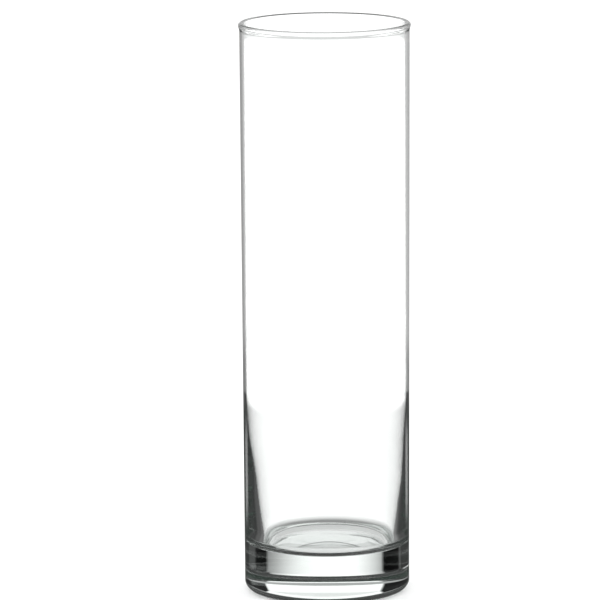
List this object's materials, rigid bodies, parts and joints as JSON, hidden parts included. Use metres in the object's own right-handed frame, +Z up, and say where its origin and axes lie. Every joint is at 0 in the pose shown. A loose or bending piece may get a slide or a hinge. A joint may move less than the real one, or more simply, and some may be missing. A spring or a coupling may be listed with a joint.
{
  "type": "glass cylinder vase",
  "caption": "Tall, slightly conical clear glass vase with a fire-polished lip, a straight bore that closes in over a thick solid base, and a shallow hollow underneath within a narrow bearing ring.",
  "frame": {"origin": "centre of the bearing ring, on the surface that the vase stands on", "axes": "+Z up along the vase's axis, out of the mouth; X and Y are free, because the vase is round"},
  "size_m": [0.079, 0.079, 0.265],
  "materials": {
    "clear_glass": "clear soda-lime glass, fire-polished, with a faint grey-green tint where it is thick"
  },
  "bodies": {
    "root": {"vase": "clear_glass"}
  },
  "joints": []
}
